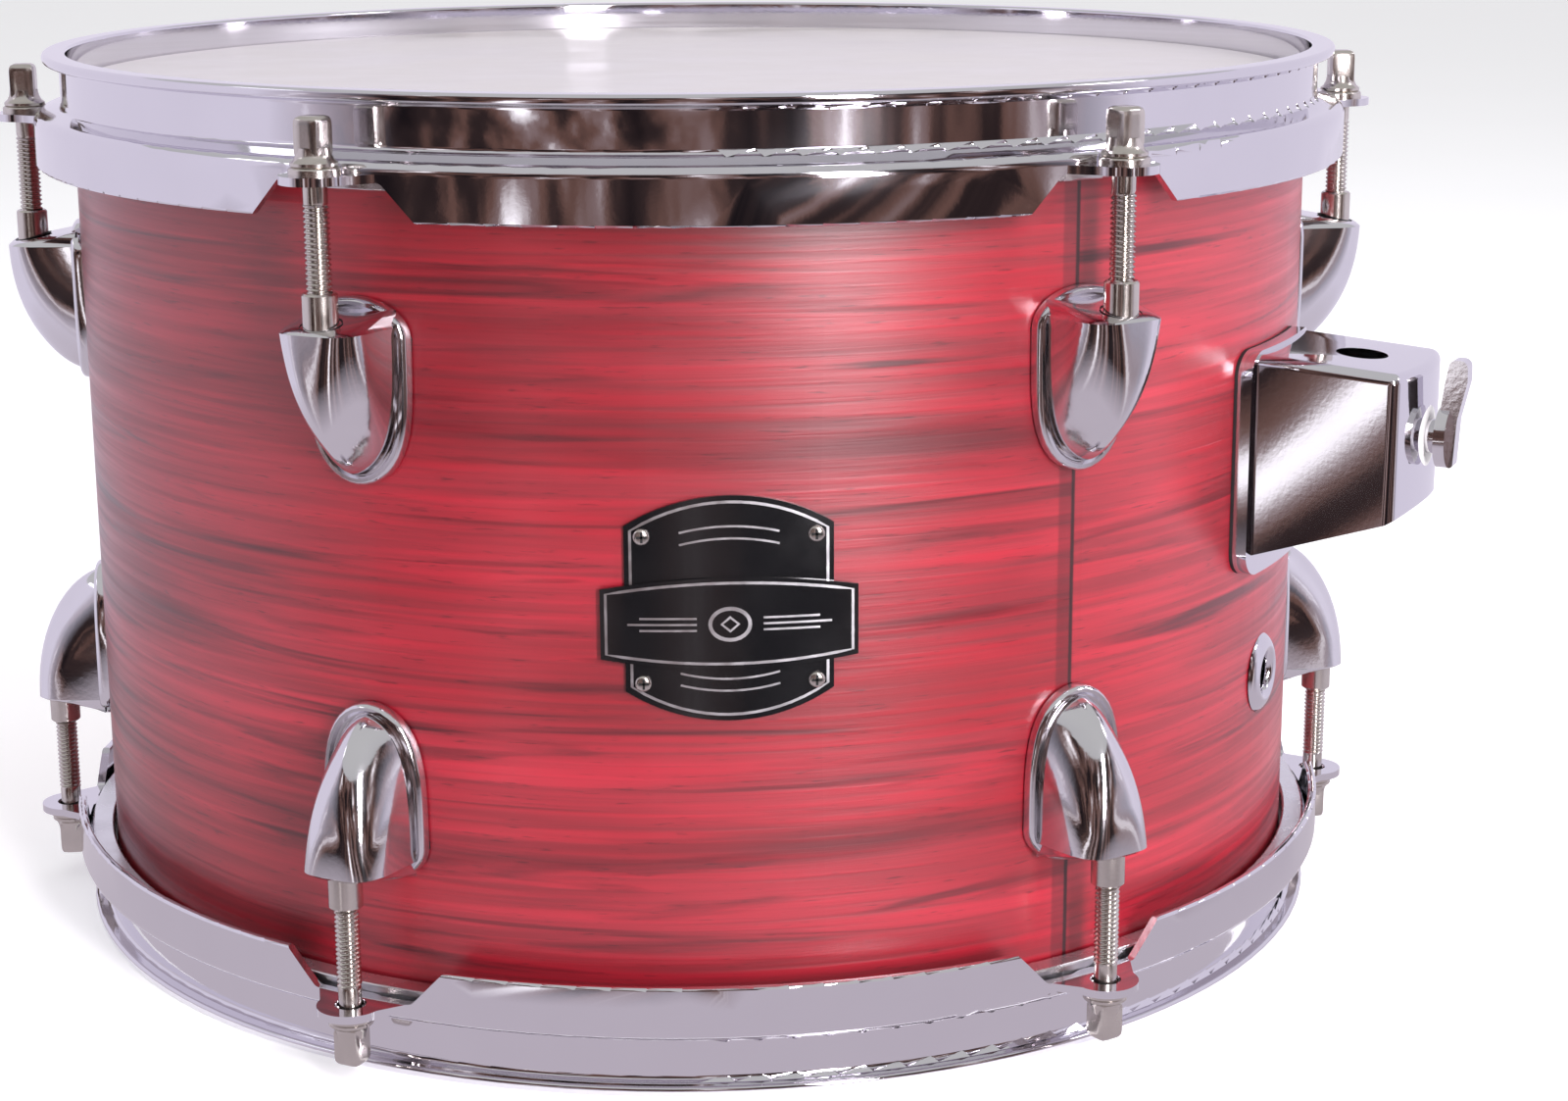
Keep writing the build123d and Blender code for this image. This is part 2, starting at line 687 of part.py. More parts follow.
with BuildPart() as badge_banner:
    with BuildSketch(radial_plane(shell_r - 5, 0, 104.6)):
        with BuildLine():
            ThreePointArc((-27.2, 7.5), (0, 10.0), (27.2, 7.5))
            Line((27.2, 7.5), (27.2, -7.7))
            ThreePointArc((27.2, -7.7), (0, -9.7), (-27.2, -7.7))
            Line((-27.2, -7.7), (-27.2, 7.5))
        make_face()
    extrude(amount=8)
    curved_band(badge_face_r, badge_face_r + banner_t)
save(at_angle(badge_banner.part, badge_angle), "badge_banner")

with BuildPart() as badge_screws:
    for z in badge_screw_z:
        for y in (-badge_screw_y, badge_screw_y):
            seat_x = sqrt(badge_face_r**2 - (badge_screw_y - badge_screw_r)**2)
            with Locations(Location((seat_x, y, z), (0, 90, 0))):
                Cylinder(badge_screw_r, 0.8, align=(Align.CENTER, Align.CENTER, Align.MIN))
            with Locations(Location((seat_x, y, z), (0, -90, 0))):
                Cylinder(badge_screw_r / 2, 4.0, align=(Align.CENTER, Align.CENTER, Align.MIN))
save(at_angle(badge_screws.part, badge_angle), "badge_screws")
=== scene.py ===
import bpy
import bmesh
import json
import math
from mathutils import Matrix, Vector


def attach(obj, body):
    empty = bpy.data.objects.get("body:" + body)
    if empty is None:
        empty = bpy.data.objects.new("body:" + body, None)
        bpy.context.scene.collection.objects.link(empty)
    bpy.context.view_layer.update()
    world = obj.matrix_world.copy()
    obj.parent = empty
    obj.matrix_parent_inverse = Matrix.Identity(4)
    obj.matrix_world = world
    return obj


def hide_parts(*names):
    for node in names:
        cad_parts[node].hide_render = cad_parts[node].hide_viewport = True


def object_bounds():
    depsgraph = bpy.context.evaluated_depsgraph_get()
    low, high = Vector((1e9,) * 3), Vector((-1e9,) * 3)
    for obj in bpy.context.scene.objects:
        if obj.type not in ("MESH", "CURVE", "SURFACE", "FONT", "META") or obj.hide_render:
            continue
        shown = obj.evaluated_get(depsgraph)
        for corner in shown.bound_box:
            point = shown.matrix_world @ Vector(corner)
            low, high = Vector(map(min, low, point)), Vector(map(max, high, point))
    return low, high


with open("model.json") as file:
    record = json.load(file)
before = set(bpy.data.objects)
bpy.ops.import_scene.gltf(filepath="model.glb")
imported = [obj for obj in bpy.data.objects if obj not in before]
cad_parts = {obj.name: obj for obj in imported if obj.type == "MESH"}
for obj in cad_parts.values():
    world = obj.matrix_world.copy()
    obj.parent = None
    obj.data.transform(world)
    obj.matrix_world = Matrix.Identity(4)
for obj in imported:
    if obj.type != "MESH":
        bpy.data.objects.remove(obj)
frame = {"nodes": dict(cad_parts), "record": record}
cadLow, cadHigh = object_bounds()
scene = bpy.context.scene
mm = 0.001
drumHeight = cadHigh.z - cadLow.z
lugCount = 6


# ---- mesh helpers

def makePiece(name, verts, faces, material=None, smooth=True):
    mesh = bpy.data.meshes.new(name)
    mesh.from_pydata([Vector(v) * mm for v in verts], [], faces)
    mesh.validate()
    work = bmesh.new()
    work.from_mesh(mesh)
    bmesh.ops.remove_doubles(work, verts=work.verts, dist=1e-7)
    bmesh.ops.recalc_face_normals(work, faces=work.faces)
    work.to_mesh(mesh)
    work.free()
    piece = bpy.data.objects.new(name, mesh)
    scene.collection.objects.link(piece)
    if material:
        mesh.materials.append(material)
    if smooth:
        smoothByAngle(mesh)
    return piece


def smoothByAngle(mesh, degrees=35):
    for polygon in mesh.polygons:
        polygon.use_smooth = True
    work = bmesh.new()
    work.from_mesh(mesh)
    for edge in work.edges:
        if len(edge.link_faces) == 2:
            edge.smooth = edge.calc_face_angle(0) < math.radians(degrees)
    work.to_mesh(mesh)
    work.free()


def grid(rows, closed=False):
    # rows of equal length become quads; closed joins the last point of each row to its first
    verts = [point for row in rows for point in row]
    width = len(rows[0])
    faces = []
    for r in range(len(rows) - 1):
        for c in range(width if closed else width - 1):
            d = (c + 1) % width
            faces.append((r * width + c, r * width + d, (r + 1) * width + d, (r + 1) * width + c))
    return verts, faces


def circleRow(radius, z, steps, centreX=0.0):
    turns = [2 * math.pi * k / steps for k in range(steps)]
    return [(centreX + radius * math.cos(a), radius * math.sin(a), z) for a in turns]


def merged(*shapes):
    verts, faces = [], []
    for shapeVerts, shapeFaces in shapes:
        start = len(verts)
        verts += list(shapeVerts)
        faces += [tuple(i + start for i in face) for face in shapeFaces]
    return verts, faces


def mirrored(shape):
    verts, faces = shape
    height = drumHeight / mm
    return [(x, y, height - z) for x, y, z in verts], [tuple(reversed(face)) for face in faces]


# ---- shader groups

def newGroup(name, inputs, outputs):
    tree = bpy.data.node_groups.new(name, "ShaderNodeTree")
    for label, kind, value in inputs:
        socket = tree.interface.new_socket(label, in_out="INPUT", socket_type=kind)
        if value is not None:
            socket.default_value = value
    for label, kind in outputs:
        tree.interface.new_socket(label, in_out="OUTPUT", socket_type=kind)
    return tree, tree.nodes.new("NodeGroupInput"), tree.nodes.new("NodeGroupOutput")


def node(tree, kind, **settings):
    made = tree.nodes.new(kind)
    for key, value in settings.items():
        if key.startswith("in_"):
            made.inputs[int(key[3:])].default_value = value
        else:
            setattr(made, key, value)
    return made


def buildWearGroup():
    # handling marks: a roughness that varies in soft patches and fine scratches as height
    tree, given, result = newGroup(
        "handlingWear",
        [("Scale", "NodeSocketFloat", 60.0), ("Low", "NodeSocketFloat", 0.04), ("High", "NodeSocketFloat", 0.12)],
        [("Roughness", "NodeSocketFloat"), ("Height", "NodeSocketFloat")])
    place = node(tree, "ShaderNodeTexCoord")
    patches = node(tree, "ShaderNodeTexNoise")
    patches.inputs["Detail"].default_value = 4
    fine = node(tree, "ShaderNodeTexNoise")
    fine.inputs["Scale"].default_value = 900
    fine.inputs["Detail"].default_value = 3
    spread = node(tree, "ShaderNodeMapRange")
    spread.inputs["From Min"].default_value = 0.35
    spread.inputs["From Max"].default_value = 0.7
    link = tree.links.new
    link(place.outputs["Object"], patches.inputs["Vector"])
    link(place.outputs["Object"], fine.inputs["Vector"])
    link(given.outputs["Scale"], patches.inputs["Scale"])
    link(patches.outputs["Fac"], spread.inputs["Value"])
    link(given.outputs["Low"], spread.inputs["To Min"])
    link(given.outputs["High"], spread.inputs["To Max"])
    link(spread.outputs["Result"], result.inputs["Roughness"])
    link(fine.outputs["Fac"], result.inputs["Height"])
    return tree


wearGroup = buildWearGroup()


def startMaterial(name):
    material = bpy.data.materials.new(name)
    material.use_nodes = True
    tree = material.node_tree
    return material, tree, tree.nodes["Principled BSDF"]


def finishMaterial(name, colour, metallic, low, high, scale=60.0, bump=0.02, tone=0.0, coat=0.0):
    material, tree, shader = startMaterial(name)
    shader.inputs["Metallic"].default_value = metallic
    shader.inputs["Coat Weight"].default_value = coat
    shader.inputs["Coat Roughness"].default_value = 0.05
    shader.inputs["Specular IOR Level"].default_value = 0.5
    wear = node(tree, "ShaderNodeGroup", node_tree=wearGroup)
    wear.inputs["Scale"].default_value = scale
    wear.inputs["Low"].default_value = low
    wear.inputs["High"].default_value = high
    tree.links.new(wear.outputs["Roughness"], shader.inputs["Roughness"])
    relief = node(tree, "ShaderNodeBump")
    relief.inputs["Strength"].default_value = bump
    relief.inputs["Distance"].default_value = 0.0002
    tree.links.new(wear.outputs["Height"], relief.inputs["Height"])
    tree.links.new(relief.outputs["Normal"], shader.inputs["Normal"])
    place = node(tree, "ShaderNodeTexCoord")
    mottle = node(tree, "ShaderNodeTexNoise")
    mottle.inputs["Scale"].default_value = scale * 1.7
    ramp = node(tree, "ShaderNodeValToRGB")
    ramp.color_ramp.elements[0].color = [c * (1 - tone) for c in colour] + [1]
    ramp.color_ramp.elements[1].color = [min(1, c * (1 + tone * 0.4)) for c in colour] + [1]
    tree.links.new(place.outputs["Object"], mottle.inputs["Vector"])
    tree.links.new(mottle.outputs["Fac"], ramp.inputs["Fac"])
    tree.links.new(ramp.outputs["Color"], shader.inputs["Base Color"])
    return material


wrap = {
    "radius": 152.4, "seamTurn": -119.8,
    "pale": (0.40, 0.012, 0.028), "middle": (0.27, 0.006, 0.015), "dark": (0.036, 0.002, 0.005),
}


def wrapMaterial():
    material, tree, shader = startMaterial("crimsonWoodgrain")
    link = tree.links.new
    place = node(tree, "ShaderNodeTexCoord")
    turn = node(tree, "ShaderNodeMapping")
    turn.inputs["Rotation"].default_value = (0, 0, math.radians(wrap["seamTurn"]))
    apart = node(tree, "ShaderNodeSeparateXYZ")
    angle = node(tree, "ShaderNodeMath", operation="ARCTAN2")
    around = node(tree, "ShaderNodeMath", operation="MULTIPLY", in_1=wrap["radius"] * mm)
    flat = node(tree, "ShaderNodeCombineXYZ")
    link(place.outputs["Object"], turn.inputs["Vector"])
    link(turn.outputs["Vector"], apart.inputs["Vector"])
    link(apart.outputs["Y"], angle.inputs[0])
    link(apart.outputs["X"], angle.inputs[1])
    link(angle.outputs[0], around.inputs[0])
    link(around.outputs[0], flat.inputs["X"])
    link(apart.outputs["Z"], flat.inputs["Y"])

    def grainNoise(alongScale, acrossScale, detail, distortion, offset=0.0):
        stretch = node(tree, "ShaderNodeMapping")
        stretch.inputs["Scale"].default_value = (alongScale, acrossScale, 1)
        stretch.inputs["Location"].default_value = (offset, offset * 2.3, offset)
        noise = node(tree, "ShaderNodeTexNoise")
        noise.inputs["Scale"].default_value = 1
        noise.inputs["Detail"].default_value = detail
        noise.inputs["Distortion"].default_value = distortion
        link(flat.outputs[0], stretch.inputs["Vector"])
        link(stretch.outputs["Vector"], noise.inputs["Vector"])
        return noise.outputs["Fac"]

    def shaped(value, low, high, toLow=0.0, toHigh=1.0):
        span = node(tree, "ShaderNodeMapRange")
        span.inputs["From Min"].default_value = low
        span.inputs["From Max"].default_value = high
        span.inputs["To Min"].default_value = toLow
        span.inputs["To Max"].default_value = toHigh
        link(value, span.inputs["Value"])
        return span.outputs["Result"]

    def blended(amount, first, second, mode="MIX"):
        mix = node(tree, "ShaderNodeMix", data_type="RGBA", blend_type=mode)
        for socket, value in ((mix.inputs[0], amount), (mix.inputs[6], first), (mix.inputs[7], second)):
            if isinstance(value, bpy.types.NodeSocket):
                link(value, socket)
            else:
                socket.default_value = value
        return mix.outputs[2]

    broad = shaped(grainNoise(5, 42, 3, 0.6), 0.36, 0.66)
    fibres = shaped(grainNoise(12, 520, 6, 0.4, 3.1), 0.36, 0.66)
    streaks = shaped(grainNoise(8, 150, 7, 1.2, 7.7), 0.55, 0.72, 0.0, 0.85)
    bands = shaped(grainNoise(3, 26, 4, 1.6, 11.3), 0.55, 0.75, 0.0, 0.55)
    pores = shaped(grainNoise(150, 1500, 2, 0.0, 5.5), 0.64, 0.76, 0.0, 0.55)
    colour = blended(broad, (*wrap["middle"], 1), (*wrap["pale"], 1))
    colour = blended(shaped(fibres, 0, 1, 0.42, 0.0), colour, (*wrap["dark"], 1))
    colour = blended(bands, colour, (*wrap["dark"], 1))
    colour = blended(streaks, colour, (*wrap["dark"], 1))
    colour = blended(pores, colour, (*wrap["dark"], 1))
    distance = node(tree, "ShaderNodeMath", operation="ABSOLUTE")
    link(around.outputs[0], distance.inputs[0])
    halfTurn = math.pi * wrap["radius"] * mm
    seam = shaped(distance.outputs[0], halfTurn - 0.0007, halfTurn - 0.0003, 0.0, 0.9)
    overlap = shaped(around.outputs[0], halfTurn - 0.0042, halfTurn - 0.0036, 0.0, 0.45)
    colour = blended(overlap, colour, (*wrap["dark"], 1))
    colour = blended(seam, colour, (0.01, 0.002, 0.003, 1))
    link(colour, shader.inputs["Base Color"])
    link(shaped(fibres, 0, 1, 0.42, 0.31), shader.inputs["Roughness"])
    shader.inputs["Specular IOR Level"].default_value = 0.6
    shader.inputs["Coat Weight"].default_value = 0.45
    shader.inputs["Coat Roughness"].default_value = 0.3
    relief = node(tree, "ShaderNodeBump")
    relief.inputs["Strength"].default_value = 0.22
    relief.inputs["Distance"].default_value = 0.0002
    link(fibres, relief.inputs["Height"])
    link(relief.outputs["Normal"], shader.inputs["Normal"])
    return material


def woodMaterial():
    material, tree, shader = startMaterial("plyInside")
    place = node(tree, "ShaderNodeTexCoord")
    stretch = node(tree, "ShaderNodeMapping")
    stretch.inputs["Scale"].default_value = (30, 30, 400)
    grain = node(tree, "ShaderNodeTexNoise")
    grain.inputs["Scale"].default_value = 1
    grain.inputs["Detail"].default_value = 6
    ramp = node(tree, "ShaderNodeValToRGB")
    ramp.color_ramp.elements[0].color = (0.34, 0.2, 0.1, 1)
    ramp.color_ramp.elements[1].color = (0.72, 0.52, 0.33, 1)
    tree.links.new(place.outputs["Object"], stretch.inputs["Vector"])
    tree.links.new(stretch.outputs["Vector"], grain.inputs["Vector"])
    tree.links.new(grain.outputs["Fac"], ramp.inputs["Fac"])
    tree.links.new(ramp.outputs["Color"], shader.inputs["Base Color"])
    shader.inputs["Roughness"].default_value = 0.55
    return material


chrome = finishMaterial("brightChrome", (0.76, 0.745, 0.79), 1.0, 0.035, 0.075, scale=35, bump=0.015, tone=0.03)
castChrome = finishMaterial("castChrome", (0.77, 0.755, 0.79), 1.0, 0.06, 0.12, scale=70, bump=0.05, tone=0.04)
nickel = finishMaterial("nickelSteel", (0.62, 0.58, 0.54), 1.0, 0.16, 0.28, scale=120, bump=0.08, tone=0.12)
zinc = finishMaterial("zincSteel", (0.66, 0.67, 0.70), 1.0, 0.2, 0.38, scale=150, bump=0.1, tone=0.15)
aluminium = finishMaterial("rolledAluminium", (0.78, 0.78, 0.80), 1.0, 0.22, 0.34, scale=90, bump=0.08, tone=0.08)
gasket = finishMaterial("gasketRubber", (0.012, 0.012, 0.013), 0.0, 0.45, 0.7, scale=200, bump=0.2, tone=0.3)
film = finishMaterial("coatedFilm", (0.60, 0.565, 0.575), 0.0, 0.3, 0.5, scale=40, bump=0.05, tone=0.04)
nylon = finishMaterial("whiteNylon", (0.75, 0.75, 0.72), 0.0, 0.4, 0.55, scale=120, bump=0.05, tone=0.06)
badgeBlack = finishMaterial("badgeEnamel", (0.006, 0.006, 0.007), 0.0, 0.12, 0.22, scale=90, bump=0.03, tone=0.2, coat=0.5)
badgeSilver = finishMaterial("brushedSilver", (0.70, 0.70, 0.72), 1.0, 0.28, 0.42, scale=300, bump=0.1, tone=0.12)
# painted shade: a near-black finish for the lug-neck cups and the screws' cross slots, standing in for the shade
# that falls in those openings
paintedShadeBlack = finishMaterial("paintedShadeMaterial", (0.01, 0.01, 0.011), 0.3, 0.4, 0.6, scale=100, bump=0.05, tone=0.3)
wood = woodMaterial()
crimson = wrapMaterial()
print("materials made")

# ---- a tree that repeats a form round the drum's axis

def buildRingTree():
    tree = bpy.data.node_groups.new("ringOfCopies", "GeometryNodeTree")
    for label, kind in (("Form", "NodeSocketGeometry"), ("Count", "NodeSocketInt"), ("Step", "NodeSocketFloat"),
                        ("Start", "NodeSocketFloat"), ("Finish", "NodeSocketMaterial")):
        tree.interface.new_socket(label, in_out="INPUT", socket_type=kind)
    tree.interface.new_socket("Ring", in_out="OUTPUT", socket_type="NodeSocketGeometry")
    given = tree.nodes.new("NodeGroupInput")
    result = tree.nodes.new("NodeGroupOutput")
    points = tree.nodes.new("GeometryNodePoints")
    index = tree.nodes.new("GeometryNodeInputIndex")
    step = node(tree, "ShaderNodeMath", operation="MULTIPLY_ADD")
    turn = tree.nodes.new("ShaderNodeCombineXYZ")
    copies = tree.nodes.new("GeometryNodeInstanceOnPoints")
    solid = tree.nodes.new("GeometryNodeRealizeInstances")
    paint = tree.nodes.new("GeometryNodeSetMaterial")
    link = tree.links.new
    link(given.outputs["Count"], points.inputs["Count"])
    link(index.outputs[0], step.inputs[0])
    link(given.outputs["Step"], step.inputs[1])
    link(given.outputs["Start"], step.inputs[2])
    link(step.outputs[0], turn.inputs["Z"])
    link(points.outputs[0], copies.inputs["Points"])
    link(given.outputs["Form"], copies.inputs["Instance"])
    link(turn.outputs[0], copies.inputs["Rotation"])
    link(copies.outputs[0], solid.inputs[0])
    link(solid.outputs[0], paint.inputs["Geometry"])
    link(given.outputs["Finish"], paint.inputs["Material"])
    link(paint.outputs[0], result.inputs[0])
    return tree


ringTree = buildRingTree()


def ringOf(name, shape, material, body, nodes, count=lugCount, start=0.0):
    form = makePiece(name + "Form", *shape)
    layout = form.modifiers.new("ring", "NODES")
    layout.node_group = ringTree
    names = {item.name: item.identifier for item in ringTree.interface.items_tree if item.in_out == "INPUT"}
    layout[names["Count"]] = count
    layout[names["Step"]] = 2 * math.pi / lugCount
    layout[names["Start"]] = math.radians(start)
    layout[names["Finish"]] = material
    view = bpy.context.evaluated_depsgraph_get()
    mesh = bpy.data.meshes.new_from_object(form.evaluated_get(view))
    mesh.name = name
    bpy.data.objects.remove(form)
    if not mesh.materials:
        mesh.materials.append(material)
    piece = bpy.data.objects.new(name, mesh)
    scene.collection.objects.link(piece)
    smoothByAngle(mesh)
    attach(piece, body)
    if nodes:
        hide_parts(*nodes)
    return piece


# ---- lugs

lug = {
    "topZ": 171.9, "lowZ": 131.6, "half": 12.8,
    "noseR": 171.6, "bodyHalf": 10.8, "rows": 26, "columns": 25,
}


def shieldOutline(inset=0.0, steps=14):
    right = []
    for k in range(steps + 1):              # crown of the shield
        t = k / steps
        y = (lug["half"] - inset) * math.sin(t * math.pi / 2)
        z = 163.5 + (lug["topZ"] - 163.5 - inset) * math.cos(t * math.pi / 2)
        right.append((y, z))
    for k in range(1, steps + 1):           # straight flank, then round to the toe
        t = k / steps
        z = 163.5 + (lug["lowZ"] + inset - 163.5) * math.sin(t * math.pi / 2)
        drop = (163.5 - z) / (163.5 - lug["lowZ"] - inset)
        y = (lug["half"] - inset) * max(0.0, 1 - drop ** 4.2) ** 0.52
        right.append((max(y, 0.0), z))
    left = [(-y, z) for y, z in reversed(right[1:-1])]
    return right + left


def onWall(y, z, radius):
    return (math.sqrt(radius ** 2 - y ** 2), y, z)


def lugShape():
    rings = []
    for inset, radius in ((0, 152.9), (0, 154.5), (0.25, 155.2), (0.8, 155.6), (1.5, 155.5),
                          (2.1, 154.9), (2.8, 154.8)):
        rings.append([onWall(y, z, radius) for y, z in shieldOutline(inset)])
    flangeVerts, flangeFaces = grid(rings, closed=True)
    flangeFaces.append(tuple(range(len(flangeVerts) - len(rings[0]), len(flangeVerts))))
    rows = []
    count = lug["rows"]
    columns = lug["columns"]
    for k in range(5):                      # top face, rising towards the shell
        back = 1 - k / 4
        row = []
        for c in range(columns):
            u = -1 + 2 * c / (columns - 1)
            front = 155.0 + (lug["noseR"] - 155.0) * (1 - abs(u) ** 4) ** 0.45
            r = 154.0 + (front - 154.0 - 0.6) * (1 - back)
            row.append((r, u * (lug["bodyHalf"] - 0.4), 166.7 + 3.0 * back))
        rows.append(row)
    for k in range(count):
        t = k / (count - 1)
        z = 166.0 - 32.2 * (0.5 - 0.5 * math.cos(math.pi * t)) if k else 166.1
        drop = (166.0 - z) / 32.2
        half = lug["bodyHalf"] * max(0.0, 1 - max(0, drop) ** 3.6) ** 0.55
        nose = 155.0 + (lug["noseR"] - 155.0) * max(0.0, 1 - max(0, drop) ** 2.3) ** 0.66
        power = 5.0 - 3.3 * min(1, drop * 1.25)     # boxy at the top, keeled below
        root = 0.45 + 0.5 * min(1, drop * 1.5)
        row = []
        for c in range(columns):
            u = -1 + 2 * c / (columns - 1)
            r = 154.6 + (nose - 154.6) * max(0.0, 1 - abs(u) ** power) ** root
            row.append((r, u * half, z))
        rows.append(row)
    body = grid(rows)
    return merged((flangeVerts, flangeFaces), body)


def discShape(radius, x, z, tilt, steps=24):
    # a shallow cup in the neck opening round the nut; drawn near-black, it is painted shadow standing in for the
    # shade inside the opening
    rows = []
    for r, drop in ((radius, 0.0), (radius * 0.96, -0.25), (radius * 0.8, -0.5)):
        rows.append([(x + r * math.cos(2 * math.pi * k / steps), r * math.sin(2 * math.pi * k / steps),
                      z + drop - tilt * r * math.cos(2 * math.pi * k / steps)) for k in range(steps)])
    verts, faces = grid(rows, closed=True)
    faces.append(tuple(range(len(verts) - steps, len(verts))))
    return verts, faces


lugForm = lugShape()
# painted shadow: a dark cup in each lug's neck stands in for the shade round the swivel nut
neckShadeForm = discShape(4.5, 166.1, 167.75, 0.205)
for side, turned in (("batter", lambda s: s), ("resonant", mirrored)):
    ringOf(side + "LugCastings", turned(lugForm), castChrome, "shell",
           [f"{side}_lug_{i + 1}" for i in range(lugCount)])
    ringOf(side + "LugNeckShadows", turned(neckShadeForm), paintedShadeBlack, "shell", [])
print("lugs made")

# ---- tension rods with rolled threads

rod = {
    "circleR": 166.1, "endZ": 156.5, "threadTop": 192.6, "pitch": 1.0583, "major": 2.74, "minor": 2.28,
    "washerTop": 200.1, "collarTop": 201.3, "headTop": 210.5, "square": 6.2,
}


def rodShape():
    steps = 20
    perTurn = 5
    rows = []
    turns = (rod["threadTop"] - 173.0) / rod["pitch"]
    total = int(turns * perTurn)
    rows.append(circleRow(rod["minor"] + 0.02, rod["endZ"], steps, rod["circleR"]))
    for i in range(total + 1):
        z = 173.0 + i * rod["pitch"] / perTurn
        row = []
        for k in range(steps):
            phase = (z / rod["pitch"] + k / steps) % 1.0
            crest = max(0.0, 1 - abs(phase - 0.5) * 2.6)
            r = rod["minor"] + (rod["major"] - rod["minor"]) * min(1, crest * 1.5)
            a = 2 * math.pi * k / steps
            row.append((rod["circleR"] + r * math.cos(a), r * math.sin(a), z))
        rows.append(row)
    for r, z in ((2.55, 193.0), (2.55, rod["washerTop"]), (4.7, rod["washerTop"]), (4.95, 200.4),
                 (4.95, 201.0), (4.6, rod["collarTop"]), (4.2, 201.6), (3.7, 202.6), (3.4, 204.0)):
        rows.append(circleRow(r, z, steps, rod["circleR"]))
    shank = grid(rows, closed=True)
    shank[1].append(tuple(range(steps)))
    headRows = []
    half = rod["square"] / 2
    for scale, z in ((0.9, 201.5), (1.0, 203.0), (1.0, 208.6), (0.97, 209.5), (0.86, 210.1),
                     (0.66, 210.4), (0.3, rod["headTop"])):
        row = []
        for k in range(24):
            a = 2 * math.pi * k / 24
            squared = (abs(math.cos(a)) ** 7 + abs(math.sin(a)) ** 7) ** (-1 / 7)
            reach = half * scale * min(squared, 1.32)
            row.append((rod["circleR"] + reach * math.cos(a), reach * math.sin(a), z))
        headRows.append(row)
    head = grid(headRows, closed=True)
    head[1].append(tuple(range(len(head[0]) - 24, len(head[0]))))
    head[1].append(tuple(range(24)))
    return merged(shank, head)


rodForm = rodShape()
for side, turned in (("batter", lambda s: s), ("resonant", mirrored)):
    for i in range(lugCount):
        ringOf(f"{side}TensionRod{i + 1}", turned(rodForm), nickel, f"{side}_rod_{i + 1}",
               [f"{side}_rod_{i + 1}"], count=1, start=60 * i)
print("rods made")

# ---- badge inlays and screws

badge = {"angle": -90.0, "plateR": 153.2, "bannerR": 153.8, "plateZ": 107.75, "bannerZ": 104.6}


def arcThrough(halfWidth, side, crown, steps=16):
    # upper edge from left to right, height side at the ends and crown in the middle
    rise = crown - side
    radius = (halfWidth ** 2 + rise ** 2) / (2 * rise)
    points = []
    for k in range(steps + 1):
        y = -halfWidth + 2 * halfWidth * k / steps
        points.append((y, crown - radius + math.sqrt(radius ** 2 - y ** 2)))
    return points


def cushionLine(halfWidth, side, crown, lowSide, lowCrown):
    top = arcThrough(halfWidth, side, crown)
    low = [(-y, -z) for y, z in arcThrough(halfWidth, lowSide, lowCrown)]
    return top + low


def ribbon(points, width, radius, z0, closed=True, thick=0.08):
    rows = []
    count = len(points)
    for i in range(count + (1 if closed else 0)):
        a = points[(i - 1) % count] if closed or i > 0 else points[0]
        b = points[i % count]
        c = points[(i + 1) % count] if closed or i < count - 1 else points[-1]
        dy, dz = c[0] - a[0], c[1] - a[1]
        length = math.hypot(dy, dz) or 1
        ny, nz = -dz / length * width / 2, dy / length * width / 2
        outer, inner = (b[0] + ny, b[1] + nz + z0), (b[0] - ny, b[1] - nz + z0)
        rows.append([onWall(*outer, radius), onWall(*outer, radius + thick),
                     onWall(*inner, radius + thick), onWall(*inner, radius)])
    return grid(rows, closed=True)


plateLine = cushionLine(20.7, 16.9, 23.0, 16.9, 23.0)
bannerLine = cushionLine(26.0, 6.5, 8.9, 6.6, 8.6)
emblem = [(4.2 * math.cos(math.pi * k / 12), 3.4 * math.sin(math.pi * k / 12)) for k in range(24)]
inlays = [
    ribbon(plateLine, 0.6, badge["plateR"], badge["plateZ"]),
    ribbon(bannerLine, 0.6, badge["bannerR"], badge["bannerZ"]),
    ribbon(emblem, 0.8, badge["bannerR"], badge["bannerZ"]),
    ribbon([(1.8, 0), (0, 1.5), (-1.8, 0), (0, -1.5)], 0.6, badge["bannerR"], badge["bannerZ"]),
]
for sign in (-1, 1):
    for z, reach in ((1.3, 19.0), (0.0, 21.5), (-1.3, 19.0)):
        inlays.append(ribbon([(sign * (7 + k * (reach - 7) / 8), z) for k in range(9)], 0.45,
                             badge["bannerR"], badge["bannerZ"], closed=False))
    for lift in (14.0, 16.6):
        inlays.append(ribbon([(k * 1.5, sign * (lift + 1.2 - 0.012 * (k * 1.5) ** 2)) for k in range(-7, 8)], 0.45,
                             badge["plateR"], badge["plateZ"], closed=False))
ringOf("badgeInlay", merged(*inlays), badgeSilver, "shell", [], count=1, start=badge["angle"])

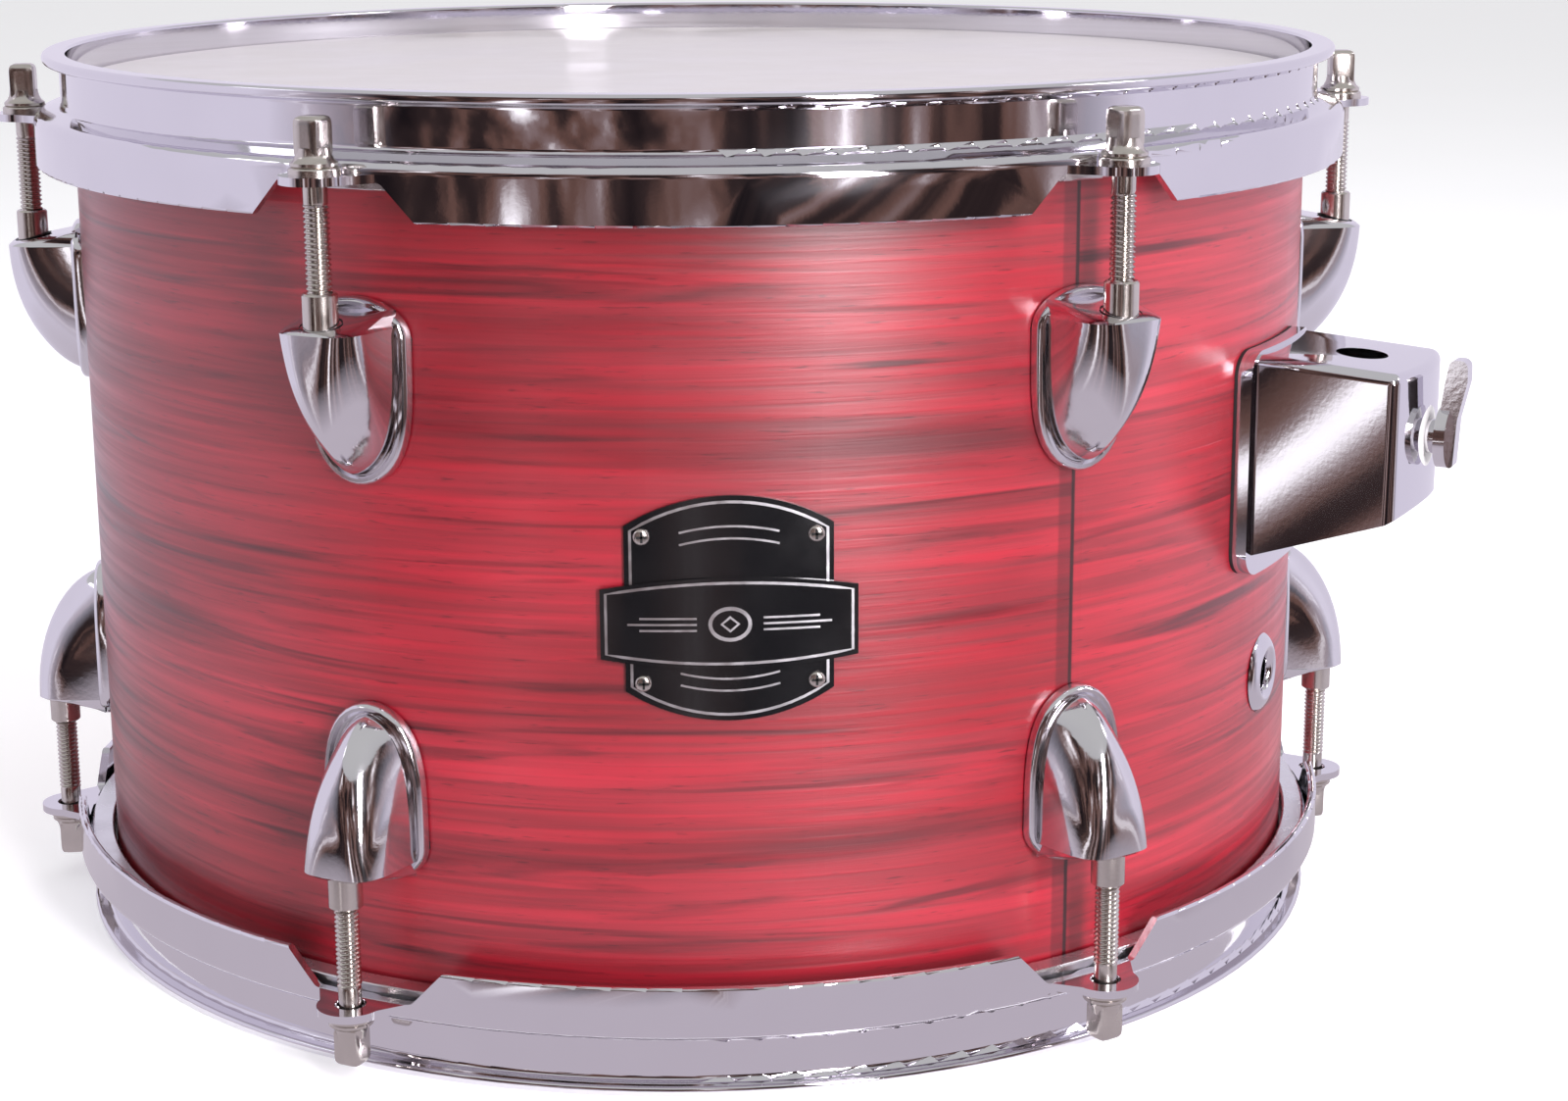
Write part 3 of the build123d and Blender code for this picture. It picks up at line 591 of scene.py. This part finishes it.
screwForms = []
crossShadeForms = []
for z in (91.7, 123.4):
    for y in (-18.3, 18.3):
        lean = math.asin(y / badge["plateR"])
        rows = []
        for r, lift in ((1.8, -0.4), (1.8, 0.25), (1.6, 0.55), (1.1, 0.78), (0.5, 0.86)):
            rows.append([(badge["plateR"] * math.cos(lean) + lift, y + r * math.cos(2 * math.pi * k / 20),
                          z + r * math.sin(2 * math.pi * k / 20)) for k in range(20)])
        dome = grid(rows, closed=True)
        dome[1].append(tuple(range(80, 100)))
        screwForms.append(dome)
        x = badge["plateR"] * math.cos(lean) + 0.88
        # painted shade: flat dark crosses on each screw head stand in for the shade in the cross slots
        for along, across in ((1.15, 0.26), (0.26, 1.15)):
            crossShadeForms.append(([(x, y - along, z - across), (x, y + along, z - across),
                                (x, y + along, z + across), (x, y - along, z + across)], [(0, 1, 2, 3)]))
ringOf("badgeScrewHeads", merged(*screwForms), nickel, "shell", ["badge_screws"],
       count=1, start=badge["angle"])
ringOf("badgeScrewCrossShadows", merged(*crossShadeForms), paintedShadeBlack, "shell", [], count=1, start=badge["angle"])
print("badge made")

# ---- CAD nodes keep their shape: smooth copies for the bright metal, procedural finishes for all

def smoothCopy(cadName, pieceName, material, edge=0.0):
    source = frame["nodes"][cadName]
    mesh = source.data.copy()
    mesh.name = pieceName
    mesh.materials.clear()
    mesh.materials.append(material)
    if "custom_normal" in mesh.attributes:
        mesh.attributes.remove(mesh.attributes["custom_normal"])
    work = bmesh.new()
    work.from_mesh(mesh)
    bmesh.ops.remove_doubles(work, verts=work.verts, dist=1e-6)
    work.to_mesh(mesh)
    work.free()
    for polygon in mesh.polygons:
        polygon.material_index = 0
    piece = bpy.data.objects.new(pieceName, mesh)
    scene.collection.objects.link(piece)
    smoothByAngle(mesh, 28)
    if edge:
        rounding = piece.modifiers.new("softEdge", "BEVEL")
        rounding.width = edge * mm
        rounding.segments = 3
        rounding.limit_method = "ANGLE"
        rounding.angle_limit = math.radians(40)
        rounding.harden_normals = False
    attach(piece, next(b for b, members in frame["record"]["behaviour"]["bodies"].items() if cadName in members))
    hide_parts(cadName)
    return piece


for side in ("batter", "resonant"):
    smoothCopy(f"{side}_hoop", side + "Rim", chrome)
    smoothCopy(f"{side}_swivel_nuts", side + "NutBarrels", nickel)
    smoothCopy(f"{side}_rod_washers", side + "RodWashers", nickel)
smoothCopy("mount_bracket", "tomMountCasting", chrome, edge=0.5)
smoothCopy("wing_bolt", "wingBolt", castChrome, edge=0.6)
smoothCopy("vent_grommet", "ventEyelet", chrome)
smoothCopy("shell_wrap", "shellCovering", crimson)

finishes = {
    "shell_plies": wood, "badge_plate": badgeBlack, "badge_banner": badgeBlack, "mount_gasket": gasket,
    "lug_gaskets": gasket, "mount_backing_plate": zinc, "mount_screws": zinc, "clamp_shoe": nylon,
    "wing_bolt_bushing": nylon, "nut_retainers": nylon, "lug_screws": zinc, "lug_screw_washers": zinc,
    "vent_grommet_ring": chrome, "batter_flesh_hoop": aluminium, "resonant_flesh_hoop": aluminium,
    "batter_head_film": film, "resonant_head_film": film,
}
for name, cadNode in frame["nodes"].items():
    finish = finishes.get(name, chrome)
    cadNode.data.materials.clear()
    cadNode.data.materials.append(finish)
print("carried-over nodes finished")

# ---- studio: pale floor, soft lights, room reflections and the camera

studio = {"floorSize": 12.0, "floorColour": (0.86, 0.86, 0.87)}
floorMesh = bpy.data.meshes.new("paleFloor")
half = studio["floorSize"] / 2
floorMesh.from_pydata([(-half, -half, 0), (half, -half, 0), (half, half, 0), (-half, half, 0)], [], [(0, 1, 2, 3)])
floor = bpy.data.objects.new("paleFloor", floorMesh)
floor.location.z = cadLow.z
scene.collection.objects.link(floor)
floorMaterial = finishMaterial("paleFloorPaint", studio["floorColour"], 0.0, 0.5, 0.7, scale=3, bump=0.0, tone=0.01)
floorShader = floorMaterial.node_tree.nodes["Principled BSDF"]
floorShader.inputs["Emission Color"].default_value = (1, 0.99, 1, 1)
floorShader.inputs["Emission Strength"].default_value = 0.3
floorMesh.materials.append(floorMaterial)


def softLight(name, position, size, power, colour=(1, 1, 1), target=(0, 0, 0.1)):
    data = bpy.data.lights.new(name, "AREA")
    data.shape = "RECTANGLE"
    data.size, data.size_y = size
    data.energy = power
    data.color = colour
    light = bpy.data.objects.new(name, data)
    light.location = position
    light.rotation_euler = (Vector(target) - Vector(position)).to_track_quat("-Z", "Y").to_euler()
    scene.collection.objects.link(light)
    return light


softLight("keyPanel", (0.40, -1.05, 0.42), (0.17, 0.8), 15, (1.0, 0.95, 1.0))
softLight("leftPanel", (-1.5, -0.1, 0.6), (0.4, 1.2), 3, (0.93, 0.93, 1.0))
softLight("rightPanel", (1.45, -0.25, 0.6), (0.35, 1.3), 14, (0.97, 0.94, 1.0))
overhead = softLight("overheadPanel", (0.0, 0.3, 1.7), (1.6, 1.6), 9)
overhead.visible_glossy = False

# what the bright metal mirrors: dim shelves in front, pale walls at the sides, never seen directly
room = {"nearR": 160.5, "farR": 1200, "height": 950, "stripes": 6.5}
roomMaterial = bpy.data.materials.new("roomAround")
roomMaterial.use_nodes = True
tree = roomMaterial.node_tree
tree.nodes.clear()
link = tree.links.new
place = node(tree, "ShaderNodeTexCoord")
apart = node(tree, "ShaderNodeSeparateXYZ")
level = node(tree, "ShaderNodeCombineXYZ")
unit = node(tree, "ShaderNodeVectorMath", operation="NORMALIZE")
split = node(tree, "ShaderNodeSeparateXYZ")
rise = node(tree, "ShaderNodeMath", operation="MULTIPLY", in_1=0.35)
mixed = node(tree, "ShaderNodeCombineXYZ")
stripes = node(tree, "ShaderNodeTexNoise")
stripes.inputs["Scale"].default_value = room["stripes"]
stripes.inputs["Detail"].default_value = 4
shelves = node(tree, "ShaderNodeValToRGB")
stops = shelves.color_ramp
stops.elements[0].position, stops.elements[0].color = 0.34, (0.008, 0.006, 0.008, 1)
stops.elements[1].position, stops.elements[1].color = 0.70, (1.5, 1.45, 1.5, 1)
for position, colour in ((0.46, (0.035, 0.022, 0.022, 1)), (0.54, (0.16, 0.085, 0.07, 1)),
                         (0.61, (0.28, 0.20, 0.20, 1))):
    stops.elements.new(position).color = colour
facing = node(tree, "ShaderNodeMapRange")
facing.inputs["From Min"].default_value = -0.25
facing.inputs["From Max"].default_value = -0.62
walls = node(tree, "ShaderNodeMix", data_type="RGBA")
walls.inputs[6].default_value = (0.80, 0.75, 0.88, 1)
reach = node(tree, "ShaderNodeVectorMath", operation="LENGTH")
away = node(tree, "ShaderNodeMapRange")
away.inputs["From Min"].default_value = 0.24
away.inputs["From Max"].default_value = 0.42
table = node(tree, "ShaderNodeMix", data_type="RGBA")
table.inputs[6].default_value = (0.60, 0.54, 0.61, 1)
glow = node(tree, "ShaderNodeEmission")
out = node(tree, "ShaderNodeOutputMaterial")
link(place.outputs["Object"], apart.inputs[0])
link(apart.outputs["X"], level.inputs["X"])
link(apart.outputs["Y"], level.inputs["Y"])
link(level.outputs[0], unit.inputs[0])
link(unit.outputs[0], split.inputs[0])
link(split.outputs["X"], mixed.inputs["X"])
link(split.outputs["Y"], mixed.inputs["Y"])
link(apart.outputs["Z"], rise.inputs[0])
link(rise.outputs[0], mixed.inputs["Z"])
link(mixed.outputs[0], stripes.inputs["Vector"])
link(stripes.outputs["Fac"], shelves.inputs["Fac"])
link(split.outputs["Y"], facing.inputs["Value"])
link(facing.outputs[0], walls.inputs[0])
link(shelves.outputs["Color"], walls.inputs[7])
link(level.outputs[0], reach.inputs[0])
link(reach.outputs["Value"], away.inputs["Value"])
link(away.outputs[0], table.inputs[0])
link(walls.outputs[2], table.inputs[7])
link(table.outputs[2], glow.inputs["Color"])
link(glow.outputs[0], out.inputs["Surface"])
roomRows = [(room["nearR"], 1.0), (room["farR"], 2.0), (room["farR"], room["height"])]
roomRings = [circleRow(radius, z, 96) for radius, z in roomRows]
surroundings = makePiece("roomAround", *grid(roomRings, closed=True), roomMaterial)
surroundings.visible_camera = False
surroundings.visible_diffuse = False
surroundings.visible_shadow = False
surroundings.visible_transmission = False
scene.view_settings.view_transform = "Standard"

world = bpy.data.worlds.new("roomLight")
scene.world = world
world.use_nodes = True
roomTree = world.node_tree
roomTree.nodes.clear()
link = roomTree.links.new
place = node(roomTree, "ShaderNodeTexCoord")
apart = node(roomTree, "ShaderNodeSeparateXYZ")
shade = node(roomTree, "ShaderNodeValToRGB")
shade.color_ramp.elements[0].position, shade.color_ramp.elements[0].color = 0.0, (0.80, 0.79, 0.86, 1)
shade.color_ramp.elements[1].position, shade.color_ramp.elements[1].color = 0.8, (1.0, 1.0, 1.0, 1)
backdrop = node(roomTree, "ShaderNodeBackground")
backdrop.inputs["Strength"].default_value = 0.6
output = node(roomTree, "ShaderNodeOutputWorld")
link(place.outputs["Generated"], apart.inputs[0])
link(apart.outputs["Z"], shade.inputs["Fac"])
link(shade.outputs["Color"], backdrop.inputs["Color"])
link(backdrop.outputs[0], output.inputs[0])

view = {"distance": 0.73979, "height": 0.26635, "bearing": 2.425, "pitch": 0.244, "yaw": 0.0304, "roll": -0.0048,
        "lens": 66.68}
aim = math.radians(view["bearing"])
cosP, sinP = math.cos(view["pitch"]), math.sin(view["pitch"])
forward = Vector((math.sin(view["yaw"]) * cosP, math.cos(view["yaw"]) * cosP, -sinP))
level = Vector((math.cos(view["yaw"]), -math.sin(view["yaw"]), 0))
upright = level.cross(forward)
right = math.cos(view["roll"]) * level + math.sin(view["roll"]) * upright
above = -math.sin(view["roll"]) * level + math.cos(view["roll"]) * upright
swing = Matrix.Rotation(-aim, 3, "Z")
axes = [swing @ v for v in (right, above, -forward)]
cameraData = bpy.data.cameras.new("studioCamera")
cameraData.sensor_width = 36
cameraData.lens = view["lens"]
cameraData.clip_start = 0.01
camera = bpy.data.objects.new("studioCamera", cameraData)
scene.collection.objects.link(camera)
placing = Matrix(((axes[0].x, axes[1].x, axes[2].x), (axes[0].y, axes[1].y, axes[2].y),
                  (axes[0].z, axes[1].z, axes[2].z))).to_4x4()
placing.translation = (-view["distance"] * math.sin(aim), -view["distance"] * math.cos(aim), view["height"])
camera.matrix_world = placing
scene.camera = camera
print("studio ready")
